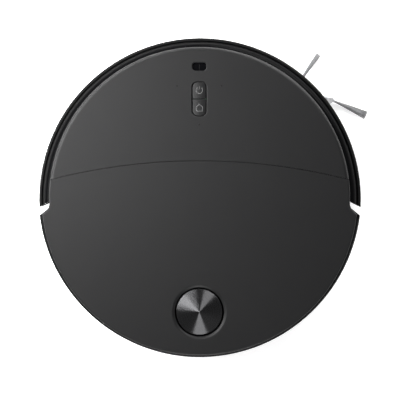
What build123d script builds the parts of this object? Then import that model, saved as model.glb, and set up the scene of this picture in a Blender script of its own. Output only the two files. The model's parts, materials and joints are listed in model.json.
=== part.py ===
from build123d import *
from math import asin, atan2, cos, degrees, hypot, radians, sin, sqrt
import os

# Robot vacuum and mop with a lidar turret that rises out of its top, as an assembly of separate pieces.
# Units are millimetres. +Z is up, and the origin is on the floor under the round body's axis.
# The front, where the bumper is, faces -Y, so the robot's right is -X. Every joint is at rest.

# ---------------------------------------------------------------- outline and levels
ARC_R = 176.5  # radius of the body's front arc and of its rear arc
ARC_SHIFT = 1.8  # how far each arc's centre lies past the middle
TOP_Z = 79.8  # crown of the top covers
CROWN = 1.5  # fall of the covers from the middle to their rear edge
WALL = 2.4
FRONT_WALL_R = 160.5  # wall of the body behind the bumper
NOTCH = (163.0, 9.6)  # inner corner of the notch in each side
NOTCH_SLOPE = 0.83

CHASSIS_Z = 9.5  # underside, which is the ground clearance
FLOOR_T = 2.4
BELLY = (140.0, 58.0)  # raised plate in the middle of the underside
BELLY_Y = 3.0
BELLY_Z = 9.0
SPLIT_Z = 26.0  # chassis below, upper housing above
DECK_Z = 71.6  # top of the deck under the covers
DECK_T = 2.2
DECK_LOW = DECK_Z - DECK_T
RIM_Z = 74.0  # top of the rear rim
COVER_Z = 74.4  # underside of the covers' edges
RUN = 0.05  # running clearance of a shaft in its hole

# ---------------------------------------------------------------- top covers
FRONT_COVER_R = 164.2
REAR_COVER_R = 172.5
SEAM_R = 654.0  # arc that parts the two covers
SEAM_APEX_Y = -39.9
SEAM_GAP = 0.5
COVER_SKIN_Z = 76.8  # underside of the covers' skins
FRONT_EDGE_R = 4.0  # rounding of the front cover's edge, inside the bumper
REAR_EDGE_R = 1.5
MOUTH_R = 0.8  # rounding of the button and sensor openings
COVER_RIM = 4.0  # width of the covers' thick edges
FLARE_R = 12.0  # where the rear cover widens behind the notches
PAD_SPOTS = [(-130.0, 40.0), (130.0, 40.0), (-100.0, 120.0), (100.0, 120.0)]
BOSS_SPOTS = [(side * x, y) for x, y in ((120.0, -70.0), (62.0, -138.0), (60.0, -60.0)) for side in (-1, 1)]

PILL = (16.0, 37.9)  # button opening, width and length
PILL_CORNER = 6.0
PILL_Y = -107.2
BUTTON_GAP = 0.75
BUTTON_TRAVEL = 0.7
BUTTON_CROWN_R = 46.0  # the caps are crowned across
SENSOR_HOLE = (15.2, 8.8)
SENSOR_CORNER = 3.2
SENSOR_Y = -142.6
MIC_R = 0.7
MIC_SPOTS = [(-24.3, -121.6), (24.3, -121.6), (0.0, -79.1)]

# ---------------------------------------------------------------- lidar turret
TURRET = (0.0, 124.9)
TURRET_HOLE_R = 26.7
CAP_R = 25.2
CAP_SINK = 0.75  # how far the cap lies below the covers' crown
WELL_R = 27.0
CAGE_R = 26.4
CAGE_Z = (47.0, 50.0)
DISH_W = 4.0  # the cover curves down towards the turret over this width
DISH_END = 40.0  # slope at which it meets the hole, in degrees

# ---------------------------------------------------------------- bumper
BUMPER_Z = (20.8, 73.6)
BUMPER_TRAVEL = 3.2
BUMPER_END = ((165.7, 5.2), (176.3, 10.4))  # line on which the bumper's ends are cut
WINDOW_T = 1.8
FRONT_WINDOW = (-90.0, 21.0, 34.0, 56.0)  # middle angle, half angle, low and high z
SIDE_WINDOW = (-158.0, 4.0, 38.0, 50.0)
LEVER_PIVOT = (55.0, -141.0)
LEVER_TIP = (70.0, -148.0)
LEVER_TIP_R = 2.4
LEVER_Z = (46.0, 52.0)
LEVER_PIN_R = 1.5
SENSOR_BAR_Z = (40.0, 58.0)

# ---------------------------------------------------------------- drive wheels and caster
WHEEL_R = 33.0
WHEEL_X = (107.0, 127.0)
WHEEL_Y = 4.0
WHEEL_PIVOT = (51.5, 30.0)  # y and z of the arm's pivot
AXLE_R = 3.0
WELL_X = (82.6, 131.0)
WELL_Y = (-40.0, 65.2)
WELL_T = 1.6
CASTER = (0.0, -132.0)
CASTER_WHEEL_R = 12.0
CASTER_TRAIL = 4.5
CUP_R = 19.0
CUP_TOP = 32.5

# ---------------------------------------------------------------- main brush
BRUSH_Y, BRUSH_Z = -70.0, 25.0
BRUSH_R = 24.0
BRUSH_CORE_R = 12.0
BRUSH_X = (3.0, 80.0)  # each half of the split brush
BRUSH_STUB_R = 4.0
BLADE_T = 2.2
BLADE_TWIST = 75.0
CHAMBER_R = 26.6
CHAMBER_X = 85.0
CHAMBER_T = 1.8
GUARD = (180.0, 64.0)
GUARD_MOUTH = (162.0, 43.0)
GUARD_T = 2.0
DUCT_X = (-46.0, 46.0)
DUCT_Y = (-55.0, -28.0)
DUCT_Z = (29.0, 45.0)

# ---------------------------------------------------------------- side brush
ARM_PIVOT = (-75.0, -128.0)
HUB = (-114.5, -91.9)
ARM_Z = (10.4, 18.6)
ARM_HALF = 11.5
ARM_ROOM = 2.0
SWING = 22.0  # degrees
TUFT_ROOT = (-30.8, -16.8)  # from the hub
TUFT_TIP = (-65.2, -1.8)
TUFT_TURN = 76.5  # angle between the side brush's two arms
TUFT_Z = (5.7, 2.6)
TUFT_R = (1.2, 3.4)

# ---------------------------------------------------------------- mop
MOP_FRONT_Y = 70.0
MOP_R = 157.5
MOP_HALF = 124.0
PAD_T = 5.0
PLATE_T = 3.4
CARRIER_Z = (9.9, 12.6)
LIFT_POSTS = [(-6.0, 84.0), (24.0, 84.0)]
MAGNET_SPOTS = [(-70.0, 112.0), (70.0, 112.0)]
RECESS_Z = 21.2
RECESS_ROOM = 3.5

# ---------------------------------------------------------------- dustbin
BIN_X = 70.0
BIN_Y = (-24.0, 36.0)
BIN_Z = (24.0, 69.0)
BIN_T = 1.8
BAY_ROOM = 2.0
BAY_T = 1.6
INLET_X = (-44.0, 44.0)
INLET_Z = (30.0, 44.0)
FLAP_AXIS = (-20.4, 46.4)  # y and z
FILTER_X = (-62.0, -10.0)
FILTER_Z = (32.0, 60.0)
HANDLE_AXIS = (-8.0, 66.9)  # y and z
HANDLE_HALF = 56.5
HANDLE_T = 3.2

# ---------------------------------------------------------------- fan, screws and sensors
FAN = (-36.0, 46.0)  # x and z of the fan's axis
FAN_Y = (40.2, 86.0)
EXHAUST_AT = 150.0
CONTACT_X = (-32.0, 32.0)
CONTACT_Z = (28.0, 38.0)
CONTACT_Y = 171.6
SCREWS = [(100, -120), (-40, -124), (-144, 20), (144, 20), (-62, 52), (62, 52), (0, 40)]
SCREWS += [(146, -46), (-146, -36)]
CLIFF_SPOTS = [(-40, -151), (40, -151), (118, -90), (148, -16), (-148, -14), (-140, 46), (140, 46)]
CARPET_SPOT = (50.0, -118.0)

PARTS = {}


# ---------------------------------------------------------------- helpers
def keep(name, *shapes):
    """Files the solids of the shapes under a node's name."""
    solids = [solid for shape in shapes for solid in shape.solids()]
    PARTS[name] = solids[0] if len(solids) == 1 else Compound(solids)


def slab(plan, low, high):
    return Pos(0, 0, low) * extrude(plan, high - low, dir=(0, 0, 1))


def block(x, y, z):
    """A box from three (low, high) pairs."""
    spans = (sorted(x), sorted(y), sorted(z))
    middle = [(low + high) / 2 for low, high in spans]
    return Pos(*middle) * Box(*[high - low for low, high in spans])


def post(spot, radius, low, high):
    return Pos(spot[0], spot[1], (low + high) / 2) * Cylinder(radius, high - low)


def bar_x(spot, radius, low, high):
    """A cylinder along X at (y, z)."""
    return Pos((low + high) / 2, *spot) * Rot(0, 90, 0) * Cylinder(radius, abs(high - low))


def bar_y(spot, radius, low, high):
    """A cylinder along Y at (x, z)."""
    return Pos(spot[0], (low + high) / 2, spot[1]) * Rot(90, 0, 0) * Cylinder(radius, high - low)


def rounded(spot, size, corner):
    return Pos(*spot) * RectangleRounded(*size, corner)


def grown(size, extra):
    return (size[0] + 2 * extra, size[1] + 2 * extra)


def turned(spot, centre, angle):
    """A point turned about a centre, in plan."""
    dx, dy = spot[0] - centre[0], spot[1] - centre[1]
    c, s = cos(radians(angle)), sin(radians(angle))
    return (centre[0] + dx * c - dy * s, centre[1] + dx * s + dy * c)


def capsule(a, b, radius_a, radius_b):
    """The outline round two circles, joined by their common tangents."""
    discs = Pos(*a) * Circle(radius_a) + Pos(*b) * Circle(radius_b)
    return make_hull(discs.edges())


def ring(outline):
    """A round wall whose section is an outline of (radius, z) lines, about the front arc's axis."""
    return Pos(0, ARC_SHIFT, 0) * revolve(Plane.XZ * make_face(outline.edges()), Axis.Z)


def ring_sector(r_in, r_out, middle, half_angle, low, high, centre_y=ARC_SHIFT):
    """Part of a round wall, centred on an angle in degrees from +X."""
    place = Pos((r_in + r_out) / 2, 0, (low + high) / 2)
    section = place * Rot(90, 0, 0) * Rectangle(r_out - r_in, high - low)
    wall = revolve(section, Axis.Z, 2 * half_angle)
    return Pos(0, centre_y, 0) * Rot(0, 0, middle - half_angle) * wall


def top_edges(shape):
    return shape.edges().group_by(Axis.Z)[-1]


def bottom_edges(shape):
    return shape.edges().group_by(Axis.Z)[0]


# ---------------------------------------------------------------- outlines
def rear_zone(corner_y=NOTCH[1]):
    """Everything behind the two side notches."""
    far = 230.0
    far_y = corner_y + NOTCH_SLOPE * (far - NOTCH[0])
    corners = [(-far, far), (-far, far_y), (-NOTCH[0], corner_y)]
    corners += [(NOTCH[0], corner_y), (far, far_y), (far, far)]
    return Polygon(*corners, align=None)


def body_plan(inset=0.0):
    """The body's outline, drawn in by an inset: two arcs, a notch in each side and the front wall."""
    lens = (Pos(0, ARC_SHIFT) * Circle(ARC_R - inset)) & (Pos(0, -ARC_SHIFT) * Circle(ARC_R - inset))
    corner_y = NOTCH[1] + inset * sqrt(1 + NOTCH_SLOPE**2)
    return (lens & rear_zone(corner_y)) + Circle(FRONT_WALL_R - inset)


def bumper_zone():
    """What lies ahead of the line on which the bumper's ends are cut."""
    (x0, y0), (x1, y1) = BUMPER_END
    slope = (y1 - y0) / (x1 - x0)
    far = 230.0
    near = 135.0
    far_y = y0 + slope * (far - x0)
    near_y = y0 + slope * (near - x0)
    corners = [(-far, -far), (far, -far), (far, far_y), (near, near_y), (-near, near_y), (-far, far_y)]
    return Polygon(*corners, align=None)


def behind_seam(gap):
    """The region behind the arc between the covers; a negative gap grows it."""
    return Pos(0, SEAM_APEX_Y + SEAM_R) * Circle(SEAM_R - gap)


def dome():
    """A very flat ball that crowns the covers, down to z = 60."""
    radius = REAR_COVER_R**2 / (2 * CROWN)
    half = 200.0
    edge = (half, TOP_Z - half**2 / (2 * radius))
    middle = (half / 2, TOP_Z - half**2 / (8 * radius))
    arc = ThreePointArc((0, TOP_Z), middle, edge)
    outline = arc + Polyline(edge, (half, 60), (0, 60), (0, TOP_Z))
    # Turned so that the ball's own seam misses the holes in the covers.
    return Rot(0, 0, 33) * revolve(Plane.XZ * make_face(outline.edges()), Axis.Z)


# ---------------------------------------------------------------- top covers
def is_on_seam(edge):
    spot = edge.position_at(0.5)
    return abs(hypot(spot.X, spot.Y - SEAM_APEX_Y - SEAM_R) - SEAM_R) < 1.0


def cover_blank(plan, hollow, edge_r):
    """A crowned panel, hollow underneath, its top edge rounded except along the seam."""
    blank = slab(plan, COVER_Z, TOP_Z + 2)
    upright = blank.edges().filter_by(Axis.Z)
    behind = [e for e in upright if abs(e.center().Y - NOTCH[1]) < 6]
    flares = [e for e in behind if abs(abs(e.center().X) - NOTCH[0]) < 6]
    if flares:
        blank = fillet(flares, FLARE_R)
    blank &= dome()
    rim = [e for e in blank.edges() if e.center().Z > COVER_Z + 2 and e.length > 10 and not is_on_seam(e)]
    return fillet(rim, edge_r) - slab(hollow, COVER_Z, COVER_SKIN_Z)


def front_cover():
    plan = Circle(FRONT_COVER_R) - behind_seam(-SEAM_GAP / 2)
    for spot in MIC_SPOTS:
        plan -= Pos(*spot) * Circle(MIC_R)
    hollow = Circle(FRONT_COVER_R - COVER_RIM) - behind_seam(-SEAM_GAP / 2 - COVER_RIM)
    panel = cover_blank(plan, hollow, FRONT_EDGE_R)
    holes = rounded((0, PILL_Y), PILL, PILL_CORNER) + rounded((0, SENSOR_Y), SENSOR_HOLE, SENSOR_CORNER)
    panel -= slab(holes, 70, 85)
    inner = [e for e in panel.edges() if e.center().Z > 78.3 and e.center().Y < -80]
    panel = fillet([e for e in inner if abs(e.center().X) < 10], MOUTH_R)
    lip = 2.2
    collar = rounded((0, PILL_Y), grown(PILL, lip), PILL_CORNER + lip)
    collar += rounded((0, SENSOR_Y), grown(SENSOR_HOLE, lip), SENSOR_CORNER + lip)
    panel += slab(collar - holes, COVER_Z + 1.2, COVER_SKIN_Z)
    for spot in BOSS_SPOTS:
        panel += post(spot, 4.0, DECK_Z, COVER_SKIN_Z)
    keep("front_cover", panel)


def rear_cover_plan(inset=0.0):
    wings = Circle(REAR_COVER_R - inset) & rear_zone(NOTCH[1] + 1.4 + 1.3 * inset)
    return (wings + Circle(FRONT_COVER_R - inset)) & behind_seam(SEAM_GAP / 2 + inset)


def turret_opening():
    """The hole for the turret, and the dish round it that follows the crowned cover."""
    r, rise = TURRET_HOLE_R, 4.0
    bend = DISH_W / sin(radians(DISH_END))
    end = degrees(asin((DISH_W + 1.5) / bend))  # past the wall of the hole, for a clean cut
    sections = []
    for angle in (end, end / 2, 0.0):
        sections.append((r + DISH_W - bend * sin(radians(angle)), bend * (cos(radians(angle)) - 1)))
    low, middle, high = sections
    outline = ThreePointArc(low, middle, high)
    outline += Polyline(high, (high[0], rise), (0, rise), (0, low[1]), low)
    z = TOP_Z - CROWN * (TURRET[1] / REAR_COVER_R) ** 2
    tilt = degrees(atan2(2 * CROWN * TURRET[1], REAR_COVER_R**2))
    dish = Rot(-tilt, 0, 0) * revolve(Plane.XZ * make_face(outline.edges()), Axis.Z)
    return Pos(*TURRET, z) * dish + post(TURRET, r, 70, 85)


def rear_cover():
    panel = cover_blank(rear_cover_plan(), rear_cover_plan(COVER_RIM), REAR_EDGE_R)
    panel += slab(Pos(*TURRET) * Circle(TURRET_HOLE_R + 2.5), COVER_Z + 0.6, COVER_SKIN_Z + 0.5)
    panel -= turret_opening()
    for spot in PAD_SPOTS:
        panel += post(spot, 7.0, COVER_Z - 1.6, COVER_SKIN_Z + 0.5)
    keep("rear_cover", panel)


# ---------------------------------------------------------------- buttons and top sensor
def buttons():
    outline = rounded((0, PILL_Y), grown(PILL, -BUTTON_GAP), PILL_CORNER - BUTTON_GAP)
    flange = rounded((0, PILL_Y), grown(PILL, 0.8), PILL_CORNER + 0.8)
    switch_y = PILL[1] / 4
    board = slab(rounded((0, PILL_Y), (29.0, 51.0), 3.0), 70.2, DECK_Z)
    crown_z = TOP_Z - 0.7 - BUTTON_CROWN_R
    crown = Pos(0, PILL_Y, crown_z) * Rot(90, 0, 0) * Cylinder(BUTTON_CROWN_R, 60)
    for name, sign in (("start_button", -1), ("dock_button", 1)):
        half = Pos(0, PILL_Y + sign * 30.3) * Rectangle(60, 60)
        cap = slab(outline & half, 75.0, TOP_Z) & crown
        cap = fillet([e for e in cap.edges() if e.center().Z > 77], 0.4)
        cap += slab(flange & half, 74.5, 75.4)
        cap += post((0, PILL_Y + sign * switch_y), 2.4, 74.0, 75.0)
        keep(name, cap)
        spot_y = PILL_Y + sign * switch_y
        board += block((-3, 3), (spot_y - 3, spot_y + 3), (DECK_Z, 74.0 - BUTTON_TRAVEL - 0.2))
    keep("button_board", board)


def overhead_sensor():
    lens = slab(rounded((0, SENSOR_Y), grown(SENSOR_HOLE, -0.15), SENSOR_CORNER - 0.15), 75.7, 77.3)
    keep("overhead_sensor_window", lens)


# ---------------------------------------------------------------- body shells
def bay_plan(grow=0.0):
    size = grown((2 * BIN_X, BIN_Y[1] - BIN_Y[0]), BAY_ROOM + grow)
    return rounded((0, sum(BIN_Y) / 2), size, 7.0 + grow)


def upper_housing():
    shell = slab(body_plan(), SPLIT_Z, DECK_Z)
    front = [e for e in top_edges(shell).filter_by(GeomType.CIRCLE) if abs(e.radius - FRONT_WALL_R) < 0.1]
    shell = chamfer(front, 1.5)
    shell -= slab(body_plan(WALL), SPLIT_Z, DECK_LOW)
    shell += slab((body_plan() - body_plan(6.0)) & rear_zone(NOTCH[1] + 3.0), DECK_Z, RIM_Z)
    rim = [e for e in top_edges(shell).filter_by(GeomType.CIRCLE) if abs(e.radius - ARC_R) < 0.1]
    shell = fillet(rim, 2.3)
    shell -= slab(bay_plan(), 60, 80)
    shell -= post(TURRET, WELL_R, 60, 80)
    shell -= slab(rounded((0, PILL_Y), (29.2, 51.2), 3.1), 60, 80)
    shell -= ring_sector(150, 190, EXHAUST_AT, 9.0, 36, 60, -ARC_SHIFT)
    for x in CONTACT_X:
        shell -= block((x - 9.0, x + 9.0), (160, 190), CONTACT_Z)
    shell -= block((-46, 46), (-175, -150), (SENSOR_BAR_Z[0] - 2, SENSOR_BAR_Z[1] + 2))
    for side in (-1, 1):
        shell -= block((side * 58, side * 76), (-165, -138), (LEVER_Z[0] - 2, LEVER_Z[1] + 2))
    keep("upper_housing", shell)


def arm_reach(grow=0.0):
    """Plan of the space that the side brush's arm sweeps."""
    out = ARM_HALF + ARM_ROOM + grow
    discs = Pos(*ARM_PIVOT) * Circle(out)
    discs += Pos(*HUB) * Circle(out)
    discs += Pos(*turned(HUB, ARM_PIVOT, SWING)) * Circle(out)
    return make_hull(discs.edges())


def mop_recess(grow=0.0):
    front = MOP_FRONT_Y - 2.0 - grow
    return Circle(MOP_R + RECESS_ROOM + grow) & (Pos(0, front + 100) * Rectangle(400, 200))


def well_block(side, grow, low, high):
    """The space of a wheel well, measured from its outer walls."""
    x = (side * (WELL_X[0] - grow), side * (WELL_X[1] + grow))
    return block(x, (WELL_Y[0] - grow, WELL_Y[1] + grow), (low, high))


def cliff_plan(spot):
    """A window turned to face away from the body's axis."""
    turn = degrees(atan2(spot[1], spot[0])) - 90
    return Pos(*spot) * Rot(0, 0, turn) * RectangleRounded(17.0, 7.0, 2.0)


def chassis_base():
    pan = slab(body_plan(), CHASSIS_Z, SPLIT_Z)
    bottom = pan.faces().sort_by(Axis.Z)[0]
    pan = chamfer(bottom.outer_wire().edges(), 5.5)
    solid_zone = mop_recess(FLOOR_T) + arm_reach(1.6) + Pos(*CASTER) * Circle(CUP_R + 1.6)
    floor_z = CHASSIS_Z + FLOOR_T
    pan -= slab(body_plan(8.0) - solid_zone, floor_z, 18.0)
    pan -= slab(body_plan(WALL) - solid_zone, 18.0, SPLIT_Z)
    pan -= slab(body_plan(WALL) - Pos(*CASTER) * Circle(CUP_R + 1.6), RECESS_Z + FLOOR_T, SPLIT_Z)
    pan += post(CASTER, CUP_R + 1.6, SPLIT_Z, CUP_TOP + 2.0) + post(CASTER, 8.0, CUP_TOP, 46.0)
    pan -= post(CASTER, CUP_R, 0, CUP_TOP) + post(CASTER, AXLE_R + RUN, 30, 44.8)
    pan -= slab(mop_recess(), 0, RECESS_Z)
    pan -= slab(arm_reach(), 0, ARM_Z[1] + 1.8)
    pan -= block((-CHAMBER_X - 0.3, CHAMBER_X + 0.3), (BRUSH_Y - 28.7, BRUSH_Y + 28.7), (0, 24))
    for side in (-1, 1):
        pan -= well_block(side, -WELL_T - 0.3, 0, 30)
        pan -= well_block(side, 0.25, floor_z, 30)
    pan -= post(ARM_PIVOT, AXLE_R + RUN, 0, 30)
    for spot in LIFT_POSTS:
        pan -= post(spot, 4.0 + RUN, 0, 30)
    pan += slab(rounded((0, BELLY_Y), BELLY, 6.0), BELLY_Z, CHASSIS_Z + 0.5)
    for spot in CLIFF_SPOTS:
        pan -= slab(cliff_plan(spot), 0, 14)
    pan -= post(CARPET_SPOT, 9.0, 0, 14)
    for spot in SCREWS:
        pan -= post(spot, 1.6, 0, CHASSIS_Z + 9.0)
        pan -= post(spot, 3.2, 0, CHASSIS_Z + 1.2)
    keep("chassis_base", pan)


def underside_fittings():
    windows = [slab(cliff_plan(spot), CHASSIS_Z + 0.3, 13.5) for spot in CLIFF_SPOTS]
    keep("floor_sensors", *windows, post(CARPET_SPOT, 8.9, CHASSIS_Z - 0.6, 15.0))
    screws = []
    for spot in SCREWS:
        head = post(spot, 3.0, CHASSIS_Z + 0.1, CHASSIS_Z + 1.2)
        head -= post(spot, 1.0, CHASSIS_Z, CHASSIS_Z + 0.8)
        screws.append(head + post(spot, 1.5, CHASSIS_Z + 1.2, CHASSIS_Z + 8.0))
    keep("chassis_screws", *screws)


# ---------------------------------------------------------------- bumper
def bumper_window(window, r_in=ARC_R - WINDOW_T, r_out=ARC_R, edge=0.0):
    """A curved pane in the bumper, or the hole behind it, its edges drawn in."""
    middle, half, low, high = window
    return ring_sector(r_in, r_out, middle, half - edge / 3, low + edge, high - edge)


def bumper():
    r0 = ARC_R
    low, high = BUMPER_Z
    zone = slab(bumper_zone(), 0, 90)
    band = Polyline(
        (r0 - 10.5, low), (r0 - 2.5, low), (r0, low + 6), (r0, 62.2), (r0 - 0.5, 63.2), (r0 - 1.6, 63.8),
        (r0 - 2.9, 63.8), (r0 - 3.8, 60.6), (r0 - 7.6, 60.6), (r0 - 7.6, 57.6), (r0 - 2.6, 57.6),
        (r0 - 2.6, low + 7), (r0 - 4.2, low + 2.4), (r0 - 10.5, low + 2.4), close=True,
    )
    shell = ring(band) & zone
    for window in (FRONT_WINDOW, SIDE_WINDOW):
        shell -= bumper_window(window, r_out=r0 + 5)
        shell -= bumper_window(window, r_in=r0 - 10, r_out=r0 + 5, edge=2.5)
    for side in (-1, 1):
        shell += bumper_tab(side)
    keep("bumper_shell", shell)
    keep("bumper_windows", bumper_window(FRONT_WINDOW), bumper_window(SIDE_WINDOW))

    crown = Polyline((r0 - 7.6, 60.6), (r0 - 5.2, 60.6), (r0 - 5.2, 66.6))
    crown += ThreePointArc((r0 - 5.2, 66.6), (r0 - 8.0, 70.8), (r0 - 12.2, high))
    crown += Polyline(
        (r0 - 12.2, high), (r0 - 16.2, high), (r0 - 16.2, high - 1.5), (r0 - 12.7, 72.1),
        (r0 - 9.8, 69.9), (r0 - 7.8, 66.4), (r0 - 7.6, 60.6),
    )
    keep("bumper_crown", ring(crown) & zone)


def bumper_tab(side):
    """The rib inside the bumper that pushes a switch lever."""
    x = LEVER_TIP[0]
    wall_y = ARC_SHIFT - sqrt((ARC_R - 2.0) ** 2 - (x + 2.0) ** 2)
    tip_y = LEVER_TIP[1] - LEVER_TIP_R - 0.3
    return block((side * (x - 2.0), side * (x + 2.0)), (wall_y, tip_y), LEVER_Z)


def bumper_switches():
    """The sensor bar carries a sprung lever at each end, which the bumper pushes."""
    bar = block((-44, 44), (-158.0, -146.0), SENSOR_BAR_Z)
    for x, radius in ((-30, 5.5), (0, 4.2), (30, 5.5)):
        bar -= bar_y((x, 48), radius, -159, -154)
    for side, name in ((1, "left"), (-1, "right")):
        pivot, tip = (side * LEVER_PIVOT[0], LEVER_PIVOT[1]), (side * LEVER_TIP[0], LEVER_TIP[1])
        slot_z = (LEVER_Z[0] - 0.4, LEVER_Z[1] + 0.4)
        bar += block((side * 38.0, side * 61.0), (-147.0, -134.0), (42.0, 55.0))
        bar -= block((side * 49.0, side * 80.0), (-160.0, -137.0), slot_z)
        bar -= block((side * 59.0, side * 80.0), (-160.0, -130.0), (40, 60))
        bar += post(pivot, LEVER_PIN_R, slot_z[0] - 1, slot_z[1] + 1)
        lever = slab(capsule(pivot, tip, 3.4, LEVER_TIP_R), *LEVER_Z)
        keep(f"bumper_lever_{name}", lever - post(pivot, LEVER_PIN_R + RUN, 40, 60))
    corner = slab(Circle(200) - Circle(FRONT_WALL_R - WALL - 0.4), 0, 100)
    corner -= block((-45, 45), (-200, 0), (0, 100))
    keep("sensor_bar", bar - corner)


# ---------------------------------------------------------------- lidar turret
def lidar():
    well = post(TURRET, WELL_R + 2.2, 24.0, DECK_LOW) - post(TURRET, WELL_R, 26.0, 80)
    keep("turret_well", well)
    keep("lidar_lift_motor", post(TURRET, 12.0, 26.0, 36.0) + post(TURRET, 4.0, 36.0, 44.0))
    cap_z = (TOP_Z - 5.2, TOP_Z - CAP_SINK)
    cap = post(TURRET, CAP_R, *cap_z)
    keep("lidar_cap", fillet(top_edges(cap), 0.9))
    cage = post(TURRET, CAGE_R, *CAGE_Z) + post(TURRET, 24.2, cap_z[0] - 1.8, cap_z[0])
    for k in range(3):
        pillar = turned((TURRET[0], TURRET[1] + 22.1), TURRET, 120 * k)
        cage += post(pillar, 1.6, CAGE_Z[0] + 2, cap_z[0] - 1)
    cage -= post(TURRET, 2.5 + RUN, CAGE_Z[0] - 1, CAGE_Z[1] + 1)
    keep("lidar_cage", cage)
    head = post(TURRET, 18.5, 52.0, 70.5) + post(TURRET, 2.5, 47.4, 52.0)
    for y, radius in ((-5.0, 4.0), (5.0, 3.0)):
        head -= bar_y((TURRET[0] + y, 61.5), radius, TURRET[1] + 14.0, TURRET[1] + 20.0)
    keep("lidar_head", head)


# ---------------------------------------------------------------- drive wheels
def drive_wheel(side, name):
    def place(shape):
        return shape if side > 0 else mirror(shape, Plane.YZ)

    x0, x1 = WHEEL_X
    centre = (WHEEL_Y, WHEEL_R)
    outline = capsule(WHEEL_PIVOT, centre, 12.0, 15.0)
    arm = Pos(89.0, 0, 0) * extrude(Plane.YZ * outline, 14.0, dir=(1, 0, 0))
    arm = fillet(arm.edges().group_by(Axis.X)[0], 1.5)
    arm += bar_x(WHEEL_PIVOT, AXLE_R, WELL_X[0] - 0.5, 90.0)
    arm -= bar_x(centre, AXLE_R, 92.0, 104.0)
    keep(f"wheel_arm_{name}", place(arm))
    motor = bar_x(WHEEL_PIVOT, 11.5, 103.0, 126.5) + bar_x(WHEEL_PIVOT, AXLE_R, 126.5, WELL_X[1] + 0.5)
    keep(f"drive_motor_{name}", place(motor), place(bar_x(centre, AXLE_R, 92.0, x1 - 3)))

    hub = bar_x(centre, 24.0, x0, x1 - 0.5) - bar_x(centre, 20.5, x1 - 5.0, x1)
    hub += bar_x(centre, 8.0, x1 - 6.0, x1 - 1.5)
    for k in range(6):
        angle = radians(60 * k)
        hub -= bar_x((WHEEL_Y + 14.2 * cos(angle), WHEEL_R + 14.2 * sin(angle)), 4.0, x1 - 9.0, x1)
    hub -= bar_x(centre, AXLE_R + RUN, x0 - 1, x1 - 2.9)
    keep(f"wheel_hub_{name}", place(hub))

    outer = bar_x(centre, WHEEL_R, x0, x1)
    tyre = bar_x(centre, WHEEL_R - 1.6, x0, x1)
    for k in range(24):
        lug = Rot(15.0 * k, 0, 0) * Pos(0, 0, -(WHEEL_R - 1.6)) * Box(x1 - x0, 3.0, 3.4)
        tyre += (Pos((x0 + x1) / 2, *centre) * lug) & outer
    keep(f"tyre_{name}", place(tyre - bar_x(centre, 24.0, x0 - 1, x1 + 1)))


def wheel_wells():
    top = DECK_LOW - 0.4
    wells = []
    for side in (-1, 1):
        well = well_block(side, 0.0, CHASSIS_Z + FLOOR_T + 0.1, top)
        well -= well_block(side, -WELL_T, 0, top - WELL_T)
        wells.append(well - bar_x(WHEEL_PIVOT, AXLE_R + RUN, side * (WELL_X[0] - 2), side * (WELL_X[1] + 2)))
    keep("wheel_wells", *wells)


# ---------------------------------------------------------------- caster
def caster():
    axle = (CASTER[1] + CASTER_TRAIL, CASTER_WHEEL_R)
    fork = post(CASTER, CUP_R - 1.0, 8.5, CUP_TOP - 0.5)
    fork -= block((-7.2, 7.2), (axle[0] - 14.0, axle[0] + 14.5), (0, 27.5))
    fork += post(CASTER, AXLE_R, CUP_TOP - 1, 44.3)
    fork -= bar_x(axle, 1.5, -12.0, 12.0)
    keep("caster_fork", fork)
    keep("caster_axle", bar_x(axle, 1.5, -12.0, 12.0))
    wheel = fillet(bar_x(axle, CASTER_WHEEL_R, -6.0, 6.0).edges().filter_by(GeomType.CIRCLE), 1.6)
    keep("caster_wheel", wheel - bar_x(axle, 1.5 + RUN, -10, 10))


# ---------------------------------------------------------------- main brush
def brush_half(side):
    """A core and its twisted blades, for one half of the split brush."""
    axis = (BRUSH_Y, BRUSH_Z)
    x0, x1 = BRUSH_X
    core = bar_x(axis, BRUSH_CORE_R, side * x0, side * x1)
    core += bar_x(axis, BRUSH_STUB_R, side * (x1 - 1), side * (CHAMBER_X + 3.0))
    length = x1 - x0 - 4.0
    fin = Pos(0, (BRUSH_CORE_R + BRUSH_R) / 2 - 1) * Rectangle(BLADE_T, BRUSH_R - BRUSH_CORE_R + 2)
    hollow = bar_x(axis, BRUSH_CORE_R, -100, 100)
    blades = []
    for k in range(6):
        section = Plane(origin=(0, 0, 0), z_dir=(side, 0, 0)) * Rot(0, 0, 60 * k) * fin
        reach = (side * length, 0, 0)
        twist = Solid.extrude_linear_with_rotation(section.face(), (0, 0, 0), reach, BLADE_TWIST)
        blades.append(Pos(side * (x0 + 2.0), BRUSH_Y, BRUSH_Z) * twist - hollow)
    return core, blades


def main_brush():
    left_core, left_blades = brush_half(1)
    right_core, right_blades = brush_half(-1)
    keep("brush_core", left_core, right_core)
    keep("brush_blades", *left_blades, *right_blades)


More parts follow.
